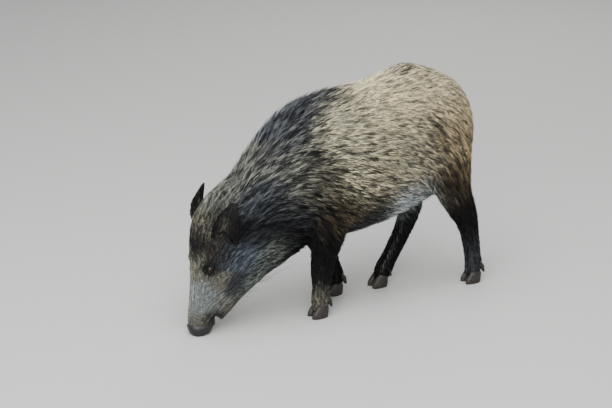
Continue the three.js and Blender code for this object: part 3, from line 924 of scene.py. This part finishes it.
def makeEye(side, sign):
    bm = bmesh.new()
    around, down = eyeWork["segments"], eyeWork["rings"]
    bmesh.ops.create_uvsphere(bm, u_segments=around, v_segments=down, radius=eyeRadius)
    mesh = bpy.data.meshes.new("eyeball_" + side)
    bm.to_mesh(mesh)
    bm.free()
    eye = addObject("eyeball_" + side, mesh)
    out = eyeOut * [1, sign, 1]
    lean = Vector((0, 0, 1)).rotation_difference(Vector(out)).to_matrix()
    verts = readPlaces(eye) @ np.array(lean).T
    off = np.linalg.norm(np.cross(verts, out), axis=1)
    off[verts @ out < 0] += 1  # the back is far off the axis
    bulge = eyeWork["cornea"] * (1 - smoothStep(off, 0.0, eyeWork["cornea reach"]))
    verts += unit(verts) * bulge[:, None]
    pastPupil = smoothStep(off, *eyeWork["pupil"])[:, None]
    pastIris = smoothStep(off, *eyeWork["iris"])[:, None]
    tints = linearTint(eyeWork["pupil tint"]) * (1 - pastPupil)
    tints = tints + linearTint(eyeWork["iris tint"]) * pastPupil
    tints = tints * (1 - pastIris) + linearTint(eyeWork["ball tint"]) * pastIris
    writePlaces(eye, verts + eyeAt * [1, sign, 1])
    paint(eye, tints)
    smoothShading(eye)
    eye.data.materials.append(eyeMaterial)
    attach(eye, "root")
    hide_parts("eye_" + side)


for side, sign in (("left", -1), ("right", 1)):
    makeEye(side, sign)
print("eyes")

# hooves and dewclaws: smoothed, with fine growth ridges around them

hoofWork = {"voxel": 0.0021, "rounds": 14, "ridge": 0.00022, "ridges": 1400, "wander": 1.3,
            "wander rate": 120, "tint": "24201d", "roughness": 0.5, "specular": 0.3, "cells": 260,
            "relief": 0.35}
hornMaterial, tree, bsdf = newMaterial("horn", hoofWork["roughness"], hoofWork["specular"])
hornTint = tree.nodes.new("ShaderNodeRGB")
hornTint.outputs[0].default_value = (*linearTint(hoofWork["tint"]), 1)
addHide(tree, bsdf, hoofWork["cells"], hoofWork["relief"], hornTint.outputs[0])


def makeHooves(leg):
    parts = [leg + end for end in ("_hoof_outer", "_hoof_inner", "_dewclaw_outer", "_dewclaw_inner")]
    hooves = joinedCopy("hooves_" + leg, parts)
    voxelise(hooves, hoofWork["voxel"])
    relax(hooves, smoothStep(readPlaces(hooves)[:, 2], 0.001, 0.004), hoofWork["rounds"])
    soften = hooves.modifiers.new("soften", "SUBSURF")
    soften.levels = 1
    applyModifiers(hooves)
    verts, normals = readPlaces(hooves), readNormals(hooves)
    wander = hoofWork["wander"] * np.sin(verts[:, 0] * hoofWork["wander rate"])
    ridge = np.sin(verts[:, 2] * hoofWork["ridges"] + wander) * hoofWork["ridge"]
    ridge *= smoothStep(verts[:, 2], 0.003, 0.009) * (1 - np.abs(normals[:, 2]))
    verts += normals * ridge[:, None]
    verts[:, 2] = np.maximum(verts[:, 2], 0)
    writePlaces(hooves, verts)
    smoothShading(hooves)
    hooves.data.materials.append(hornMaterial)
    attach(hooves, "root")
    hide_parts(*parts)


for leg in legs:
    makeHooves(leg)
print("hooves")

# floor, light and camera

floorWork = {"size": 14, "tint": (0.365, 0.358, 0.348, 1), "roughness": 0.9, "specular": 0.2}
bpy.ops.mesh.primitive_plane_add(size=floorWork["size"])
floor = bpy.context.object
floor.name = "floor"
floorMaterial, tree, bsdf = newMaterial("floor paint", floorWork["roughness"], floorWork["specular"])
bsdf.inputs["Base Color"].default_value = floorWork["tint"]
floor.data.materials.append(floorMaterial)

lamps = {
    "sky": {"at": (-0.8, -0.9, 3.2), "size": 3.2, "power": 275, "tint": (0.95, 0.98, 1.0)},
    "front": {"at": (-2.6, -3.0, 1.7), "size": 2.4, "power": 175, "tint": (1.0, 0.98, 0.95)},
    "behind": {"at": (2.2, 2.6, 2.2), "size": 2.0, "power": 45, "tint": (1.0, 0.97, 0.92)},
}
lampAim = (0, 0, 0.3)
worldWork = {"tint": (0.86, 0.88, 0.91, 1), "strength": 0.85}
cameraWork = {"at": (-1.990, -3.423, 1.710), "aim": (0.288, 0.687, 0.0), "lens": 98.04, "sensor": 36}  # mm


def aimAt(obj, place):
    obj.rotation_euler = (Vector(place) - obj.location).to_track_quat("-Z", "Y").to_euler()


for name, lamp in lamps.items():
    light = bpy.data.lights.new(name, "AREA")
    light.energy = lamp["power"]
    light.size = lamp["size"]
    light.color = lamp["tint"]
    obj = addObject(name, light)
    obj.location = lamp["at"]
    aimAt(obj, lampAim)

world = bpy.data.worlds.new("studio")
world.use_nodes = True
background = world.node_tree.nodes["Background"]
background.inputs["Color"].default_value = worldWork["tint"]
background.inputs["Strength"].default_value = worldWork["strength"]
bpy.context.scene.world = world

cameraData = bpy.data.cameras.new("camera")
cameraData.lens = cameraWork["lens"]
cameraData.sensor_width = cameraWork["sensor"]
cameraData.sensor_fit = "HORIZONTAL"
cameraObj = addObject("camera", cameraData)
cameraObj.location = cameraWork["at"]
aimAt(cameraObj, cameraWork["aim"])
bpy.context.scene.camera = cameraObj
print("floor, light and camera")
